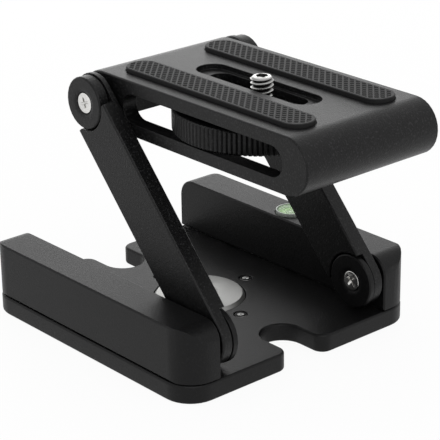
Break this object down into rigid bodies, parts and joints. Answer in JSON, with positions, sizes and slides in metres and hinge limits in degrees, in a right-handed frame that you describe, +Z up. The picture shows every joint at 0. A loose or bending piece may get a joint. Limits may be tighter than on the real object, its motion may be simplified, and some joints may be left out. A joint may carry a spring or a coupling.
{
  "type": "folding tilt head",
  "caption": "Z-shaped folding tilt head: a slotted camera plate with rubber strips and a knurled screw wheel, on swinging arms over a railed floor plate with a tripod insert and a level.",
  "frame": {"origin": "centre of the tripod thread at the floor plate's underside, on the surface that the head stands on", "axes": "+X towards the notch below the camera plate's nose, +Y towards the rail with the level, +Z up"},
  "size_m": [0.1146, 0.085, 0.0785],
  "materials": {
    "black_anodised": "fine-grained black anodised",
    "black_steel": "blackened",
    "bright_steel": "bright",
    "brushed_aluminium": "brushed",
    "black_rubber": "chequered",
    "white_nylon": "plain",
    "black_nylon": "plain",
    "clear_acrylic": "clear",
    "level_green": "clear green liquid"
  },
  "bodies": {
    "base": {"floor_plate": "black_anodised", "tripod_insert": "brushed_aluminium", "insert_screw_1": "black_steel", "insert_screw_2": "black_steel", "insert_screw_3": "black_steel", "insert_screw_4": "black_steel", "level_cup": "white_nylon", "level_liquid": "level_green", "level_lens": "clear_acrylic", "left_rail": "black_anodised", "left_rail_screw_1": "black_steel", "left_rail_screw_2": "black_steel", "left_rail_screw_3": "black_steel", "left_lower_cap": "black_anodised", "left_lower_pivot_screw": "bright_steel", "left_lower_washer": "black_nylon", "right_rail": "black_anodised", "right_rail_screw_1": "black_steel", "right_rail_screw_2": "black_steel", "right_rail_screw_3": "black_steel", "right_lower_cap": "black_anodised", "right_lower_pivot_screw": "bright_steel", "right_lower_washer": "black_nylon"},
    "arms": {"left_arm": "black_anodised", "right_arm": "black_anodised"},
    "plate": {"camera_plate": "black_anodised", "left_pad": "black_rubber", "right_pad": "black_rubber", "left_upper_cap": "black_anodised", "left_upper_pivot_screw": "bright_steel", "left_upper_washer": "black_nylon", "right_upper_cap": "black_anodised", "right_upper_pivot_screw": "bright_steel", "right_upper_washer": "black_nylon"},
    "carriage": {"slide_washer": "black_nylon"},
    "wheel": {"knurled_wheel": "black_anodised", "camera_screw": "bright_steel", "stem_nut": "bright_steel"}
  },
  "joints": [
    {"name": "arm_swing", "type": "hinge", "parent": "base", "child": "arms", "pos_m": [0.0371, 0, 0.01427], "axis": [0, 1, 0], "range_deg": [-47.5, 109]},
    {"name": "plate_tilt", "type": "hinge", "parent": "arms", "child": "plate", "pos_m": [-0.01201, 0, 0.06787], "axis": [0, 1, 0], "range_deg": [-109, 47.5]},
    {"name": "screw_slide", "type": "slide", "parent": "plate", "child": "carriage", "axis": [1, 0, 0], "range_m": [-0.0043, 0.0072]},
    {"name": "screw_spin", "type": "hinge", "parent": "carriage", "child": "wheel", "pos_m": [0.02758, 0, 0.06412], "axis": [0, 0, 1], "continuous": true}
  ]
}
